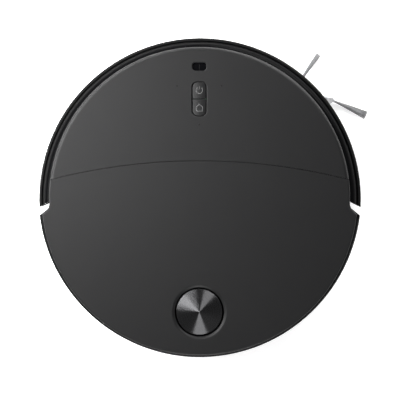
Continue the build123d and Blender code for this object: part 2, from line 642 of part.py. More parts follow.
def brush_chamber():
    axis = (BRUSH_Y, BRUSH_Z)
    outer_r = CHAMBER_R + CHAMBER_T
    floor_z = CHASSIS_Z + FLOOR_T + 0.3
    tub = bar_x(axis, outer_r, -CHAMBER_X, CHAMBER_X)
    tub += block((-CHAMBER_X, CHAMBER_X), (BRUSH_Y - outer_r, BRUSH_Y + outer_r), (floor_z, BRUSH_Z))
    inner_x = (-CHAMBER_X + 2, CHAMBER_X - 2)
    tub -= bar_x(axis, CHAMBER_R, *inner_x)
    tub -= block(inner_x, (BRUSH_Y - CHAMBER_R, BRUSH_Y + CHAMBER_R), (0, BRUSH_Z))
    tub -= block((-100, 100), (BRUSH_Y - 40, BRUSH_Y + 40), (-10, floor_z))
    tub -= bar_x(axis, BRUSH_STUB_R + RUN, -100, 100)
    tub -= block(DUCT_X, (BRUSH_Y, -30), DUCT_Z)
    keep("brush_chamber", tub)

    wall = 1.6
    duct_x, duct_z = (DUCT_X[0] - wall, DUCT_X[1] + wall), (DUCT_Z[0] - wall, DUCT_Z[1] + wall)
    duct = block(duct_x, DUCT_Y, duct_z) - block(DUCT_X, (-80, 0), DUCT_Z)
    keep("suction_duct", duct - bar_x(axis, outer_r, -100, 100))


def brush_guard():
    spot = (0, BRUSH_Y)
    frame = slab(rounded(spot, GUARD, 6.0) - rounded(spot, GUARD_MOUTH, 4.0), CHASSIS_Z - GUARD_T, CHASSIS_Z)
    collar = rounded(spot, (GUARD_MOUTH[0] + 5, 53.0), 4.0) - rounded(spot, (GUARD_MOUTH[0] + 1, 50.0), 3.0)
    frame += slab(collar, CHASSIS_Z - 1, CHASSIS_Z + 2.5)
    frame += block((-1.4, 1.4), (BRUSH_Y - 23.0, BRUSH_Y + 23.0), (CHASSIS_Z - GUARD_T, CHASSIS_Z + 1.0))
    for side in (-1, 1):
        latch = rounded((side * 64.0, BRUSH_Y + 27.0), (17.0, 5.0), 2.4)
        frame += slab(latch, CHASSIS_Z - GUARD_T - 1.3, CHASSIS_Z - 0.5)
    keep("brush_guard", frame)


def brush_motor():
    box = block((CHAMBER_X + 0.4, 97.0), (-94.0, -54.0), (13.0, 52.0))
    box -= bar_x((BRUSH_Y, BRUSH_Z), BRUSH_STUB_R + RUN, CHAMBER_X, CHAMBER_X + 3.5)
    keep("brush_motor", box + bar_x((-82.0, 40.0), 10.0, 97.0, 124.0))


# ---------------------------------------------------------------- side brush
def side_brush():
    arm = slab(capsule(ARM_PIVOT, HUB, ARM_HALF, ARM_HALF), *ARM_Z)
    arm = fillet(bottom_edges(arm), 1.2)
    arm += post(ARM_PIVOT, AXLE_R, ARM_Z[1], 24.0)
    keep("side_brush_arm", arm - post(HUB, AXLE_R + RUN, 0, 16.0))
    keep("side_brush_motor", post(ARM_PIVOT, 9.0, 24.4, 50.0))

    hub = post(HUB, 8.0, 4.4, ARM_Z[0] - 0.3)
    hub = fillet(bottom_edges(hub), 1.5) + post(HUB, AXLE_R, ARM_Z[0] - 1, 15.5)
    tufts = []
    for k in (0, 1):
        root = Vector(*turned((HUB[0] + TUFT_ROOT[0], HUB[1] + TUFT_ROOT[1]), HUB, TUFT_TURN * k), TUFT_Z[0])
        tip = Vector(*turned((HUB[0] + TUFT_TIP[0], HUB[1] + TUFT_TIP[1]), HUB, TUFT_TURN * k), TUFT_Z[1])
        hub += slab(capsule(HUB, (root.X, root.Y), 4.6, 3.0), 4.6, 6.9)
        along = (tip - root).normalized()
        start = root - along * 2.0
        tufts.append(Solid.make_cone(*TUFT_R, (tip - start).length, Plane(start, z_dir=along)))
    for tuft in tufts:
        hub -= tuft
    hub -= post(HUB, 2.6, 0, 5.6)
    keep("side_brush_hub", hub)
    floor = block((-300, 300), (-300, 300), (0.6, 60))
    keep("side_brush_bristles", *[Part([tuft]) & floor for tuft in tufts])


# ---------------------------------------------------------------- mop
def mop_plan(inset):
    """The D-shaped outline of the mop, drawn in by an inset."""
    band = Pos(0, MOP_FRONT_Y + inset + 100) * Rectangle(2 * (MOP_HALF - inset), 200)
    shape = Circle(MOP_R - inset) & band
    return fillet(shape.vertices(), 8.0)


def mop():
    pad = slab(mop_plan(0), 0.0, PAD_T)
    keep("mop_pad", fillet(bottom_edges(pad), 1.2))
    plate = slab(mop_plan(1.5), PAD_T, PAD_T + PLATE_T)
    carrier = slab(mop_plan(8.0), *CARRIER_Z)
    for spot in MAGNET_SPOTS:
        plate += post(spot, 7.0, PAD_T + PLATE_T, 10.6)
        carrier -= post(spot, 9.5, 9.0, 11.1)
    for spot in LIFT_POSTS:
        carrier += post(spot, 4.0, 11.0, 38.0)
    keep("mop_plate", plate)
    keep("mop_carrier", carrier)


# ---------------------------------------------------------------- dustbin
def dustbin():
    middle = (0, sum(BIN_Y) / 2)
    size = (2 * BIN_X, BIN_Y[1] - BIN_Y[0])
    low, high = BIN_Z
    tank = slab(rounded(middle, size, 6.0), low, high)
    tank -= slab(rounded(middle, grown(size, -BIN_T), 4.5), low + BIN_T, high - 7.0)
    tank -= slab(rounded(middle, (118.0, 38.0), 3.0), high - 8.0, high + 1)
    tank -= slab(rounded(middle, (124.0, 44.0), 3.0), high - 5.8, high + 1)
    tank -= block(INLET_X, (BIN_Y[0] - 1, BIN_Y[0] + 4), INLET_Z)
    tank -= block(FILTER_X, (BIN_Y[1] - 4, BIN_Y[1] + 1), FILTER_Z)
    for side in (-1, 1):
        tank -= bar_x(HANDLE_AXIS, HANDLE_T / 2 + RUN, side * 60, side * 66)
        lug_z = (FLAP_AXIS[1] - 2.8, FLAP_AXIS[1] + 2.8)
        lug = block((side * 48.6, side * 52.0), (BIN_Y[0] + 1, -17.5), lug_z)
        tank += lug - bar_x(FLAP_AXIS, 1.3 + RUN, side * 45, side * 56)
    keep("dustbin_tank", tank)
    keep("dustbin_lid", slab(rounded(middle, (123.8, 43.8), 2.9), high - 5.8, high - 4.0))

    flap_y = BIN_Y[0] + BIN_T + 0.3
    flap = block((-46, 46), (flap_y, flap_y + 1.4), (INLET_Z[0] - 2, FLAP_AXIS[1]))
    keep("inlet_flap", flap + bar_x(FLAP_AXIS, 1.3, -51.8, 51.8))

    frame_y = (BIN_Y[1] - 3.8, BIN_Y[1] + 1.2)
    frame = block((FILTER_X[0] + 0.2, FILTER_X[1] - 0.2), frame_y, (FILTER_Z[0] + 0.2, FILTER_Z[1] - 0.2))
    frame -= block((FILTER_X[0] + 3, FILTER_X[1] - 3), (30, 40), (FILTER_Z[0] + 3, FILTER_Z[1] - 3))
    frame += block((FILTER_X[0] + 2, FILTER_X[1] - 2), (34.2, 35.0), (FILTER_Z[0] + 2, FILTER_Z[1] - 2))
    for k in range(15):
        x = FILTER_X[0] + 3.4 + 3.1 * k
        frame += block((x, x + 1.4), (BIN_Y[1] - 3.4, 34.6), (FILTER_Z[0] + 2, FILTER_Z[1] - 2))
    keep("hepa_filter", frame)

    y, z = HANDLE_AXIS
    half = HANDLE_T / 2
    bail = block((-HANDLE_HALF, HANDLE_HALF), (y + 18.0, y + 24.0), (z - half, z + half))
    for side in (-1, 1):
        leg_x = (side * HANDLE_HALF, side * (HANDLE_HALF - 6))
        bail += block(leg_x, (y, y + 19.0), (z - half, z + half))
        bail += bar_x(HANDLE_AXIS, half, side * (HANDLE_HALF - 6), side * 64)
    keep("dustbin_handle", bail)

    bay = slab(bay_plan(BAY_T), low - 1.8, DECK_LOW) - slab(bay_plan(), low - 0.2, 80)
    bay -= block(DUCT_X, (-40, -20), DUCT_Z)
    bay -= block(FILTER_X, (30, 50), (FILTER_Z[0] - 1, FILTER_Z[1] + 1))
    keep("dustbin_bay", bay)


# ---------------------------------------------------------------- fan, power and water
def fan():
    y0, y1 = FAN_Y
    housing = bar_y(FAN, 22.0, y0, y1) - bar_y(FAN, 20.0, y0 + 1.8, y1 - 2.0)
    housing -= bar_y(FAN, 11.0, y0 - 1, y0 + 3)
    housing -= block((FAN[0] - 26, FAN[0] - 14), (y0 + 6, y0 + 20), (FAN[1] - 12, FAN[1] + 12))
    keep("fan_housing", housing)
    motor = bar_y(FAN, 14.0, y1 - 25, y1 - 2.0) + bar_y(FAN, 1.5, y1 - 34, y1 - 25)
    keep("fan_motor", motor)
    impeller = bar_y(FAN, 18.0, y1 - 28, y1 - 26) + bar_y(FAN, 4.0, y1 - 36, y1 - 27)
    for k in range(9):
        vane = Pos(0, 0, 10.5) * Box(1.2, 9.0, 14.0)
        impeller += Pos(FAN[0], y1 - 32, FAN[1]) * Rot(0, 40 * k, 0) * vane
    keep("fan_impeller", impeller - bar_y(FAN, 1.5 + RUN, y1 - 40, y1 - 20))

    grille = ring_sector(ARC_R - 2.2, ARC_R - 0.2, EXHAUST_AT, 8.9, 36.1, 59.9, -ARC_SHIFT)
    for k in range(5):
        z = 39.0 + 4.0 * k
        grille -= ring_sector(ARC_R - 5, ARC_R + 5, EXHAUST_AT, 8.0, z, z + 2.0, -ARC_SHIFT)
    keep("exhaust_grille", grille)


def power_and_water():
    pack = block((36, 104), (68.0, 128.0), (24.4, 62.0))
    keep("battery_pack", fillet(pack.edges().filter_by(Axis.Z), 3.0))
    plan = Circle(168.0) & (Pos(-78, 128) * Rectangle(84, 72))
    inner = Circle(166.0) & (Pos(-78, 128) * Rectangle(80, 68))
    keep("water_tank", slab(plan, 24.6, 64.0) - slab(inner, 26.6, 62.0))

    board = block((-80, 80), (-102, -44), (60.0, 61.6))
    chips = [((-40, -20), (-90, -70), 63.6), ((10, 34), (-84, -60), 63.2), ((50, 62), (-92, -76), 66.0)]
    for x, y, top in chips:
        board += block(x, y, (61.0, top))
    for x in (-70, -62, 66, 74):
        board += post((x, -60), 3.0, 61.0, 68.0)
    keep("main_board", board)

    contacts = []
    for x in CONTACT_X:
        z = (CONTACT_Z[0] + 0.1, CONTACT_Z[1] - 0.1)
        contact = block((x - 8.9, x + 8.9), (CONTACT_Y - 6.0, CONTACT_Y), z)
        contacts.append(fillet(contact.edges().group_by(Axis.Y)[-1], 0.8))
    keep("charging_contacts", *contacts)


def main():
    front_cover()
    rear_cover()
    buttons()
    overhead_sensor()
    upper_housing()
    chassis_base()
    underside_fittings()
    bumper()
    bumper_switches()
    lidar()
    wheel_wells()
    drive_wheel(1, "left")
    drive_wheel(-1, "right")
    caster()
    main_brush()
    brush_chamber()
    brush_guard()
    brush_motor()
    side_brush()
    mop()
    dustbin()
    fan()
    power_and_water()
    os.makedirs("parts", exist_ok=True)
    for name, shape in PARTS.items():
        export_step(shape, f"parts/{name}.step")
    print(len(PARTS), "nodes")


main()
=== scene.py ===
import json
import math
import random

import bpy
from mathutils import Matrix, Vector, noise


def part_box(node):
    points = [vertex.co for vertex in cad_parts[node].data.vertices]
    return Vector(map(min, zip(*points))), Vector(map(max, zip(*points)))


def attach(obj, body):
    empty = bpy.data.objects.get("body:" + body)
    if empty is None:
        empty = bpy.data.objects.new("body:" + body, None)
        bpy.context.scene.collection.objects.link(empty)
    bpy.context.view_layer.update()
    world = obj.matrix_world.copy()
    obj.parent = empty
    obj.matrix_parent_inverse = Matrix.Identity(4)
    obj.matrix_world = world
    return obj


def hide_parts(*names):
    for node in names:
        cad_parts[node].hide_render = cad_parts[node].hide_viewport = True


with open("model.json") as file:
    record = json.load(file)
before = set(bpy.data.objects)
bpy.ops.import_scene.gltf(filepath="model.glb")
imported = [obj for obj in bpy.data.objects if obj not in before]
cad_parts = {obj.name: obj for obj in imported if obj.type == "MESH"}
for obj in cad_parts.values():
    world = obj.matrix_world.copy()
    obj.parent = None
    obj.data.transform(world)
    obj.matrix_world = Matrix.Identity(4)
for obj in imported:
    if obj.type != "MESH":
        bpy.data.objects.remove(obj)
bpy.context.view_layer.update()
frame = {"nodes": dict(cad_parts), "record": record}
MM = 0.001
TINY = 1e-9
rng = random.Random(7)


# ---------------------------------------------------------------- places, from the frame
def box_of(node):
    """The lowest and the highest corner of a CAD node's box."""
    low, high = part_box(node)
    return Vector(low), Vector(high)


def middle_of(node):
    """The middle of a CAD node's box."""
    low, high = box_of(node)
    return (low + high) / 2


CAP = middle_of("lidar_cap")


# ---------------------------------------------------------------- mesh helpers
MITRE_LIMIT = 0.5  # keeps a ribbon from growing too wide at a sharp corner


def add_object(name, verts, faces, smooth=True):
    """Makes a mesh object and puts it in the scene."""
    mesh = bpy.data.meshes.new(name)
    mesh.from_pydata([tuple(v) for v in verts], [], faces)
    mesh.validate()
    if smooth:
        mesh.polygons.foreach_set("use_smooth", [True] * len(mesh.polygons))
    obj = bpy.data.objects.new(name, mesh)
    bpy.context.scene.collection.objects.link(obj)
    return obj


def dress(obj, material, body):
    """Gives a piece its material and the body it rides on."""
    obj.data.materials.clear()
    obj.data.materials.append(material)
    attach(obj, body)
    return obj


def tube(verts, faces, path, radii, sides=6):
    """Adds a closed tube along a path to lists of vertices and faces."""
    base = len(verts)
    up = Vector((0, 0, 1))
    for k, point in enumerate(path):
        ahead = path[min(k + 1, len(path) - 1)] - path[max(k - 1, 0)]
        across = ahead.cross(up)
        across = across.normalized() if across.length > TINY else Vector((1, 0, 0))
        lift = across.cross(ahead).normalized()
        for s in range(sides):
            turn = 2 * math.pi * s / sides
            verts.append(point + (across * math.cos(turn) + lift * math.sin(turn)) * radii[k])
    for k in range(len(path) - 1):
        for s in range(sides):
            a = base + k * sides + s
            b = base + k * sides + (s + 1) % sides
            faces.append((a, b, b + sides, a + sides))
    faces.append(tuple(base + s for s in range(sides))[::-1])
    end = base + (len(path) - 1) * sides
    faces.append(tuple(end + s for s in range(sides)))


def lathe(name, profile, centre, segments):
    """A round piece from (radius, height) points in millimetres, turned about an upright axis.

    The profile starts and ends on the axis.
    """
    profile = [(radius * MM, z * MM) for radius, z in profile]
    verts, faces = [], []
    for radius, z in profile:
        if radius < TINY:
            verts.append(Vector((centre.x, centre.y, z)))
            continue
        for s in range(segments):
            turn = 2 * math.pi * s / segments
            x = centre.x + radius * math.cos(turn)
            y = centre.y + radius * math.sin(turn)
            verts.append(Vector((x, y, z)))
    start = 0
    for k in range(len(profile) - 1):
        here = 1 if profile[k][0] < TINY else segments
        there = 1 if profile[k + 1][0] < TINY else segments
        for s in range(segments):
            t = (s + 1) % segments
            if here == 1:
                faces.append((start, start + 1 + s, start + 1 + t))
            elif there == 1:
                faces.append((start + s, start + segments, start + t))
            else:
                faces.append((start + s, start + segments + s, start + segments + t, start + t))
        start += here
    return add_object(name, verts, faces)


def ribbon(verts, faces, points, width, z, height, closed=False):
    """Adds a flat raised line along points in plan."""
    base = len(verts)
    count = len(points)
    for k, point in enumerate(points):
        before = points[(k - 1) % count] if closed or k else points[k]
        after = points[(k + 1) % count] if closed or k < count - 1 else points[k]
        into = (point - before).normalized() if (point - before).length else (after - point).normalized()
        out = (after - point).normalized() if (after - point).length else into
        along = (into + out).normalized()
        reach = width / 2 / max(MITRE_LIMIT, along.dot(into))
        side = Vector((-along.y, along.x)) * reach
        for sign, level in ((1, z), (-1, z), (-1, z + height), (1, z + height)):
            verts.append(Vector((point.x + sign * side.x, point.y + sign * side.y, level)))
    for k in range(count if closed else count - 1):
        a = base + 4 * k
        b = base + 4 * ((k + 1) % count)
        for s in range(4):
            t = (s + 1) % 4
            faces.append((a + s, a + t, b + t, b + s))
    if not closed:
        faces.append((base, base + 3, base + 2, base + 1))
        end = base + 4 * (count - 1)
        faces.append((end, end + 1, end + 2, end + 3))


def arc_points(centre, radius, start, end, steps):
    """Points along an arc in plan, with its angles in degrees."""
    turns = [math.radians(start + (end - start) * k / steps) for k in range(steps + 1)]
    return [centre + Vector((math.cos(t), math.sin(t))) * radius for t in turns]


def between(start, end, steps):
    """The points that cut a line into equal steps, without its ends."""
    return [start.lerp(end, k / steps) for k in range(1, steps)]


def finer(points, closed, steps=6):
    """The same line with more points, so that it can follow a curved cap."""
    ends = points[1:] + points[:1] if closed else points[1:]
    line = [a.lerp(b, k / steps) for a, b in zip(points, ends) for k in range(steps)]
    return line if closed else line + [points[-1]]


# ---------------------------------------------------------------- material helpers
class Recipe:
    """A node material with its Principled shader, and short ways to add nodes to it."""

    def __init__(self, name):
        self.material = bpy.data.materials.new(name)
        self.material.use_nodes = True
        self.tree = self.material.node_tree
        self.tree.nodes.clear()
        self.shader = self.node("ShaderNodeBsdfPrincipled")
        output = self.node("ShaderNodeOutputMaterial")
        self.link(self.shader.outputs["BSDF"], output.inputs["Surface"])
        self.place = self.node("ShaderNodeTexCoord").outputs["Object"]

    def node(self, kind, **settings):
        made = self.tree.nodes.new(kind)
        for key, value in settings.items():
            setattr(made, key, value)
        return made

    def link(self, output, socket):
        self.tree.links.new(output, socket)

    def put(self, value, socket):
        """Links an output to a socket, or sets the socket to a constant."""
        if isinstance(value, bpy.types.NodeSocket):
            self.link(value, socket)
        else:
            socket.default_value = value

    def noise(self, scale, detail=2.0, roughness=0.5, stretch=None):
        place = self.place
        if stretch:
            mapping = self.node("ShaderNodeMapping")
            mapping.inputs["Scale"].default_value = stretch
            self.link(place, mapping.inputs["Vector"])
            place = mapping.outputs["Vector"]
        made = self.node("ShaderNodeTexNoise")
        self.link(place, made.inputs["Vector"])
        made.inputs["Scale"].default_value = scale
        made.inputs["Detail"].default_value = detail
        made.inputs["Roughness"].default_value = roughness
        return made.outputs["Fac"]

    def ramp(self, value, low, high, to_low, to_high):
        """Maps the range from low to high to another one."""
        made = self.node("ShaderNodeMapRange")
        self.link(value, made.inputs["Value"])
        numbers = {"From Min": low, "From Max": high, "To Min": to_low, "To Max": to_high}
        for key, number in numbers.items():
            made.inputs[key].default_value = number
        return made.outputs["Result"]

    def spread(self, value, to_low, to_high):
        """Maps 0.3 to 0.7, where most of a noise lies, to another range."""
        return self.ramp(value, 0.3, 0.7, to_low, to_high)

    def math(self, operation, a, b):
        made = self.node("ShaderNodeMath", operation=operation)
        self.put(a, made.inputs[0])
        self.put(b, made.inputs[1])
        return made.outputs[0]

    def mix(self, value, dark, light):
        made = self.node("ShaderNodeMix", data_type="RGBA")
        self.put(value, made.inputs["Factor"])
        made.inputs["A"].default_value = (*dark, 1)
        made.inputs["B"].default_value = (*light, 1)
        return made.outputs["Result"]

    def bump(self, height, distance, normal=None):
        made = self.node("ShaderNodeBump")
        made.inputs["Distance"].default_value = distance
        made.inputs["Strength"].default_value = 1.0
        self.link(height, made.inputs["Height"])
        if normal:
            self.link(normal, made.inputs["Normal"])
        return made.outputs["Normal"]

    def set(self, **values):
        names = {
            "color": "Base Color", "roughness": "Roughness", "metallic": "Metallic",
            "normal": "Normal",
            "coat": "Coat Weight", "coat_roughness": "Coat Roughness", "specular": "Specular IOR Level",
            "sheen": "Sheen Weight", "sheen_roughness": "Sheen Roughness", "anisotropic": "Anisotropic",
            "tangent": "Tangent",
        }
        for key, value in values.items():
            socket = self.shader.inputs[names[key]]
            if key == "color" and isinstance(value, tuple):
                value = (*value, 1)
            self.put(value, socket)
        return self


def shade(color, factor):
    """The colour made lighter or darker by a factor."""
    return tuple(min(1.0, c * factor) for c in color)


def plastic(name, color, roughness, grain, depth, mottle, **more):
    """Moulded plastic with a grain of the given size and depth in millimetres, and faint mottling."""
    recipe = Recipe(name)
    broad = recipe.noise(28, 3)
    fine = recipe.noise(1 / (grain * MM), 2)
    dark, light = shade(color, 1 - mottle), shade(color, 1 + mottle)
    recipe.set(
        color=recipe.mix(recipe.ramp(broad, 0.35, 0.65, 0, 1), dark, light),
        roughness=recipe.spread(fine, roughness - 0.05, roughness + 0.05),
        normal=recipe.bump(fine, depth * MM),
        **more,
    )
    return recipe.material


def metal(name, color, roughness, stretch=(1, 1, 1)):
    """Metal with a fine grain, which runs in lines across an axis that is stretched."""
    recipe = Recipe(name)
    lines = recipe.noise(900, 3, 0.6, stretch)
    smudge = recipe.noise(40, 3)
    recipe.set(
        color=recipe.mix(smudge, shade(color, 0.88), shade(color, 1.1)),
        roughness=recipe.spread(lines, roughness - 0.06, roughness + 0.06),
        metallic=1.0,
        normal=recipe.bump(lines, 0.004 * MM),
    )
    return recipe.material


DISC_SLOPE = 0.45  # of the cone that the disc is shaded as
DISC_RINGS = 5200  # scale of the brushing, per metre


def brushed_disc():
    """Dark metal brushed in circles about the turret's axis, and shaded as a cone."""
    recipe = Recipe("brushed_disc")
    offset = recipe.node("ShaderNodeVectorMath", operation="SUBTRACT")
    recipe.link(recipe.place, offset.inputs[0])
    offset.inputs[1].default_value = (CAP.x, CAP.y, 0)
    flat = recipe.node("ShaderNodeVectorMath", operation="MULTIPLY")
    recipe.link(offset.outputs[0], flat.inputs[0])
    flat.inputs[1].default_value = (1, 1, 0)
    radial = recipe.node("ShaderNodeVectorMath", operation="NORMALIZE")
    recipe.link(flat.outputs[0], radial.inputs[0])
    radius = recipe.node("ShaderNodeVectorMath", operation="LENGTH")
    recipe.link(flat.outputs[0], radius.inputs[0])
    rings = recipe.node("ShaderNodeTexNoise", noise_dimensions="1D")
    recipe.link(radius.outputs["Value"], rings.inputs["W"])
    rings.inputs["Scale"].default_value = DISC_RINGS
    rings.inputs["Detail"].default_value = 4
    slope = recipe.node("ShaderNodeVectorMath", operation="SCALE")
    recipe.link(radial.outputs[0], slope.inputs[0])
    slope.inputs["Scale"].default_value = DISC_SLOPE
    tilted = recipe.node("ShaderNodeVectorMath", operation="ADD")
    recipe.link(recipe.node("ShaderNodeNewGeometry").outputs["Normal"], tilted.inputs[0])
    recipe.link(slope.outputs[0], tilted.inputs[1])
    cone = recipe.node("ShaderNodeVectorMath", operation="NORMALIZE")
    recipe.link(tilted.outputs[0], cone.inputs[0])
    recipe.set(
        color=recipe.mix(rings.outputs["Fac"], (0.028, 0.028, 0.029), (0.048, 0.048, 0.0495)),
        roughness=recipe.spread(rings.outputs["Fac"], 0.24, 0.30),
        metallic=1.0,
        anisotropic=0.94,
        tangent=radial.outputs[0],
        normal=recipe.bump(rings.outputs["Fac"], 0.003 * MM, cone.outputs[0]),
    )
    return recipe.material


def rubber(name, color, roughness):
    """Matt rubber with a little dust on it."""
    recipe = Recipe(name)
    fine = recipe.noise(1500, 3)
    dust = recipe.noise(60, 4, 0.6)
    recipe.set(
        color=recipe.mix(recipe.ramp(dust, 0.4, 0.75, 0, 1), color, shade(color, 1.7)),
        roughness=recipe.spread(dust, roughness - 0.08, roughness + 0.12),
        normal=recipe.bump(fine, 0.02 * MM),
    )
    return recipe.material


def smoked_glass(name):
    """Nearly black window plastic with a faint haze."""
    recipe = Recipe(name)
    haze = recipe.noise(35, 3)
    color = (0.0015, 0.0015, 0.0018)
    recipe.set(
        color=recipe.mix(haze, color, shade(color, 1.6)),
        roughness=recipe.spread(haze, 0.04, 0.09),
        specular=0.15,
    )
    return recipe.material


def microfibre(name):
    """Knitted loops in ribs across the mop, with painted shade: the colour is darker where the ribs and
    loops are low.
    """
    recipe = Recipe(name)
    loops = recipe.noise(1100, 3, 0.6)
    rib = recipe.node("ShaderNodeTexWave", wave_type="BANDS", bands_direction="X")
    recipe.link(recipe.place, rib.inputs["Vector"])
    rib.inputs["Scale"].default_value = 55
    rib.inputs["Distortion"].default_value = 1.5
    rib.inputs["Detail"].default_value = 2
    height = recipe.math("ADD", recipe.math("MULTIPLY", rib.outputs["Fac"], 0.6), loops)
    # painted shade: the colour follows the height, darker in the hollows between ribs and loops
    recipe.set(
        color=recipe.mix(recipe.ramp(height, 0.4, 1.2, 0, 1), (0.16, 0.17, 0.20), (0.42, 0.44, 0.49)),
        roughness=0.95,
        sheen=0.6,
        sheen_roughness=0.5,
        normal=recipe.bump(height, 0.5 * MM),
    )
    return recipe.material


def filament(name):
    """Grey nylon."""
    recipe = Recipe(name)
    strands = recipe.noise(700, 2, 0.5, (1, 1, 0.2))
    recipe.set(
        color=recipe.mix(strands, (0.16, 0.16, 0.163), (0.36, 0.36, 0.365)),
        roughness=0.42,
    )
    return recipe.material


def circuit_board(name):
    """Green board with its tracks."""
    recipe = Recipe(name)
    tracks = recipe.node("ShaderNodeTexVoronoi", feature="DISTANCE_TO_EDGE", distance="MANHATTAN")
    recipe.link(recipe.place, tracks.inputs["Vector"])
    tracks.inputs["Scale"].default_value = 260
    line = recipe.ramp(tracks.outputs["Distance"], 0.02, 0.06, 1, 0)
    recipe.set(
        color=recipe.mix(line, (0.012, 0.06, 0.03), (0.03, 0.16, 0.07)),
        roughness=0.35,
        coat=0.4,
        normal=recipe.bump(line, 0.03 * MM),
    )
    return recipe.material


def pleated_paper(name):
    """Filter paper with dust in it."""
    recipe = Recipe(name)
    fibres = recipe.noise(900, 4, 0.7)
    dust = recipe.noise(90, 3)
    recipe.set(
        color=recipe.mix(recipe.ramp(dust, 0.4, 0.8, 0, 1), (0.78, 0.76, 0.71), (0.5, 0.48, 0.44)),
        roughness=0.92,
        normal=recipe.bump(fibres, 0.06 * MM),
    )
    return recipe.material


# colour, roughness, size and depth of the grain in millimetres, mottling
PLASTICS = {
    "satin_cover": ((0.0045, 0.0045, 0.0047), 0.40, 0.45, 0.012, 0.03),
    "gloss_bumper": ((0.0016, 0.0016, 0.0018), 0.22, 2.5, 0.004, 0.05),
    "body_black": ((0.0035, 0.0035, 0.0037), 0.42, 0.4, 0.015, 0.06),
    "chassis_grey": ((0.032, 0.032, 0.034), 0.55, 0.6, 0.03, 0.08),
    "hub_grey": ((0.075, 0.078, 0.082), 0.5, 0.5, 0.02, 0.08),
    "white_plastic": ((0.50, 0.50, 0.51), 0.45, 0.5, 0.015, 0.05),
    "smoked_bin": ((0.03, 0.03, 0.034), 0.18, 3.0, 0.004, 0.1),
    "tank_clear": ((0.20, 0.22, 0.25), 0.25, 1.2, 0.01, 0.08),
    "battery_wrap": ((0.03, 0.05, 0.11), 0.38, 4.0, 0.05, 0.1),
}
FINISHES = {
    "satin_cover": {"specular": 0.2},
    "gloss_bumper": {"specular": 0.016},
    "body_black": {"specular": 0.07},
    "smoked_bin": {"coat": 0.8, "coat_roughness": 0.06},
}
MATERIALS = {
    name: plastic(name, *numbers, **FINISHES.get(name, {})) for name, numbers in PLASTICS.items()
}
MATERIALS.update({
    "smoked_lens": smoked_glass("smoked_lens"),
    "brushed_cap": brushed_disc(),
    "steel": metal("steel", (0.55, 0.55, 0.56), 0.32),
    "contact_plate": metal("contact_plate", (0.80, 0.78, 0.74), 0.22, (1, 1, 12)),
    "motor_can": metal("motor_can", (0.45, 0.45, 0.46), 0.35, (12, 1, 1)),
    "tyre": rubber("tyre", (0.018, 0.018, 0.018), 0.72),
    "blade_rubber": rubber("blade_rubber", (0.07, 0.075, 0.085), 0.5),
    "bristle": filament("bristle"),
    "mop_cloth": microfibre("mop_cloth"),
    "filter_paper": pleated_paper("filter_paper"),
    "board": circuit_board("board"),
})


def dress_frame():
    """Every CAD node takes the material that its slot in the record names."""
    for part in frame["record"]["subparts"]:
        node = frame["nodes"].get(part["node"])
        material = MATERIALS[part["material_slot"]]
        if node.data.materials:
            for k in range(len(node.data.materials)):
                node.data.materials[k] = material
        else:
            node.data.materials.append(material)


# ---------------------------------------------------------------- side brush
SIDE_BRUSH_AXIS = Vector((-114.5, -91.9, 0)) * MM
FILAMENT_STEPS = 6
FILAMENT_R = 0.17 * MM
FILAMENT_TIP_R = 0.12 * MM
SHORTEST = 0.965  # length of the shortest filament, as a part of the longest
ROOT_HALF_WIDTH = 0.9 * MM
ROOT_HALF_HEIGHT = 0.8 * MM
FLARE = 0.9 * MM  # how much the half height grows towards the tip
BOW = 0.3 * MM
# name, root, tip, width at the tip in millimetres, number of filaments
TUFTS = [
    ("rear", Vector((-146.0, -108.4, 4.8)), Vector((-184.4, -91.6, 3.0)), 9.5, 150),
    ("front", Vector((-108.2, -126.2, 4.8)), Vector((-131.5, -160.2, 3.0)), 5.8, 90),
]
# (distance along the tuft, radius) of its sleeve in millimetres
BOOT = [
    (-11.0, 1.7), (-10.6, 1.9), (-3.0, 1.9), (-2.8, 2.15), (-1.8, 2.15), (-1.6, 1.9), (-0.4, 1.8),
    (-0.2, 2.1), (0.8, 2.1), (1.0, 1.8), (3.0, 1.7), (3.3, 1.5), (3.3, 0.5),
]
BOOT_SIDES = 24
# (radius, height) in millimetres
SCREW = [(0, 4.6), (0.7, 4.6), (0.8, 4.0), (1.6, 4.1), (2.2, 4.6), (2.3, 5.2), (2.3, 5.5), (0, 5.5)]


def bristle_tuft(name, root, tip, spread, count):
    """A bundle of filaments, tight in its clamp and fanned out at the tip."""
    verts, faces = [], []
    along = (tip - root).normalized()
    across = Vector((-along.y, along.x, 0)).normalized()
    for _ in range(count):
        turn = rng.uniform(0, 2 * math.pi)
        reach = math.sqrt(rng.random())
        u, v = reach * math.cos(turn), reach * math.sin(turn)
        length = rng.uniform(SHORTEST, 1.0)
        path = []
        for k in range(FILAMENT_STEPS + 1):
            t = k / FILAMENT_STEPS
            fan = ROOT_HALF_WIDTH + (spread / 2 - ROOT_HALF_WIDTH) * t**1.15
            bow = BOW * math.sin(math.pi * t) * (0.7 + 0.3 * u)
            point = root.lerp(root.lerp(tip, length), t) + across * (u * fan + bow)
            point.z += v * (ROOT_HALF_HEIGHT + FLARE * t) + BOW * math.sin(3 * t + 6 * u)
            path.append(point)
        tube(verts, faces, path, [FILAMENT_R] * FILAMENT_STEPS + [FILAMENT_TIP_R], 5)
    return add_object(name, verts, faces)


def boot(name, root, along):
    """The moulded sleeve that holds a tuft, with two ribs round it."""
    path = [root + along * reach * MM for reach, _ in BOOT]
    radii = [radius * MM for _, radius in BOOT]
    verts, faces = [], []
    tube(verts, faces, path, radii, BOOT_SIDES)
    return add_object(name, verts, faces)


